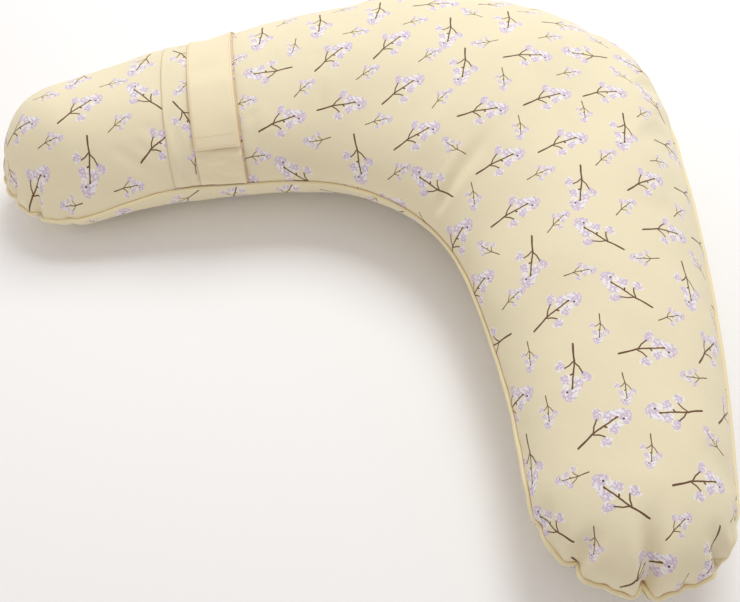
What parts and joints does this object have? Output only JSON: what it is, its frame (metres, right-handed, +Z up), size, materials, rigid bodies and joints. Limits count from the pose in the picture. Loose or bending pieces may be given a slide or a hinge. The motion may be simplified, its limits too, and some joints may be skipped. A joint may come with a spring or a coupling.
{
  "type": "nursing pillow",
  "caption": "Crescent nursing pillow with a zipped, piped cotton cover over a filled inner case, and a hook-and-loop strap across one arm.",
  "frame": {"origin": "middle of the pillow's footprint, on the surface it lies on", "axes": "+Z up; +Y towards the outer side of the bend, so the crook opens to -Y; +X to the arm without the strap"},
  "size_m": [0.8542, 0.5761, 0.155],
  "materials": {
    "printed_cotton": "fine plain-weave cotton with a small all-over twig and blossom print",
    "plain_cotton": "plain pale yellow cotton, piping and strap",
    "piping_core": "soft twisted cotton cord",
    "zip_tape": "woven polyester tape",
    "zip_coil": "moulded nylon coil",
    "zip_metal": "lacquered zinc",
    "lining": "plain white cotton ticking",
    "filling": "loose polyester fibre",
    "hook_and_loop": "woven hook and brushed loop tape",
    "label": "white satin ribbon, blank"
  },
  "bodies": {
    "pillow": {"top_panel": "printed_cotton", "bottom_panel": "printed_cotton", "printed_band": "printed_cotton", "piping_cover": "plain_cotton", "piping_cord": "piping_core", "zip_tape_upper": "zip_tape", "zip_tape_lower": "zip_tape", "zip_coil_upper": "zip_coil", "zip_coil_lower": "zip_coil", "zip_top_stops": "zip_metal", "zip_bottom_stop": "zip_metal", "inner_case_top": "lining", "inner_case_bottom": "lining", "filling": "filling", "care_label": "label", "strap_short": "plain_cotton", "loop_patch": "hook_and_loop"},
    "strap": {"strap_long": "plain_cotton", "hook_patch": "hook_and_loop"},
    "slider": {"zip_slider": "zip_metal"},
    "pull_tab": {"zip_pull_tab": "zip_metal"}
  },
  "joints": [
    {"name": "strap_swing", "type": "hinge", "parent": "pillow", "child": "strap", "pos_m": [-0.32624, 0.00975, 0.071], "axis": [-0.5288, -0.8488, 0], "range_deg": [0, 165]},
    {"name": "zip_travel", "type": "hinge", "parent": "pillow", "child": "slider", "pos_m": [0, 0.0365, 0.0582], "axis": [0, 0, 1], "range_deg": [0, 52]},
    {"name": "pull_swing", "type": "hinge", "parent": "slider", "child": "pull_tab", "pos_m": [0.10901, 0.26001, 0.0582], "axis": [0, 0, -1], "range_deg": [0, 150]}
  ]
}
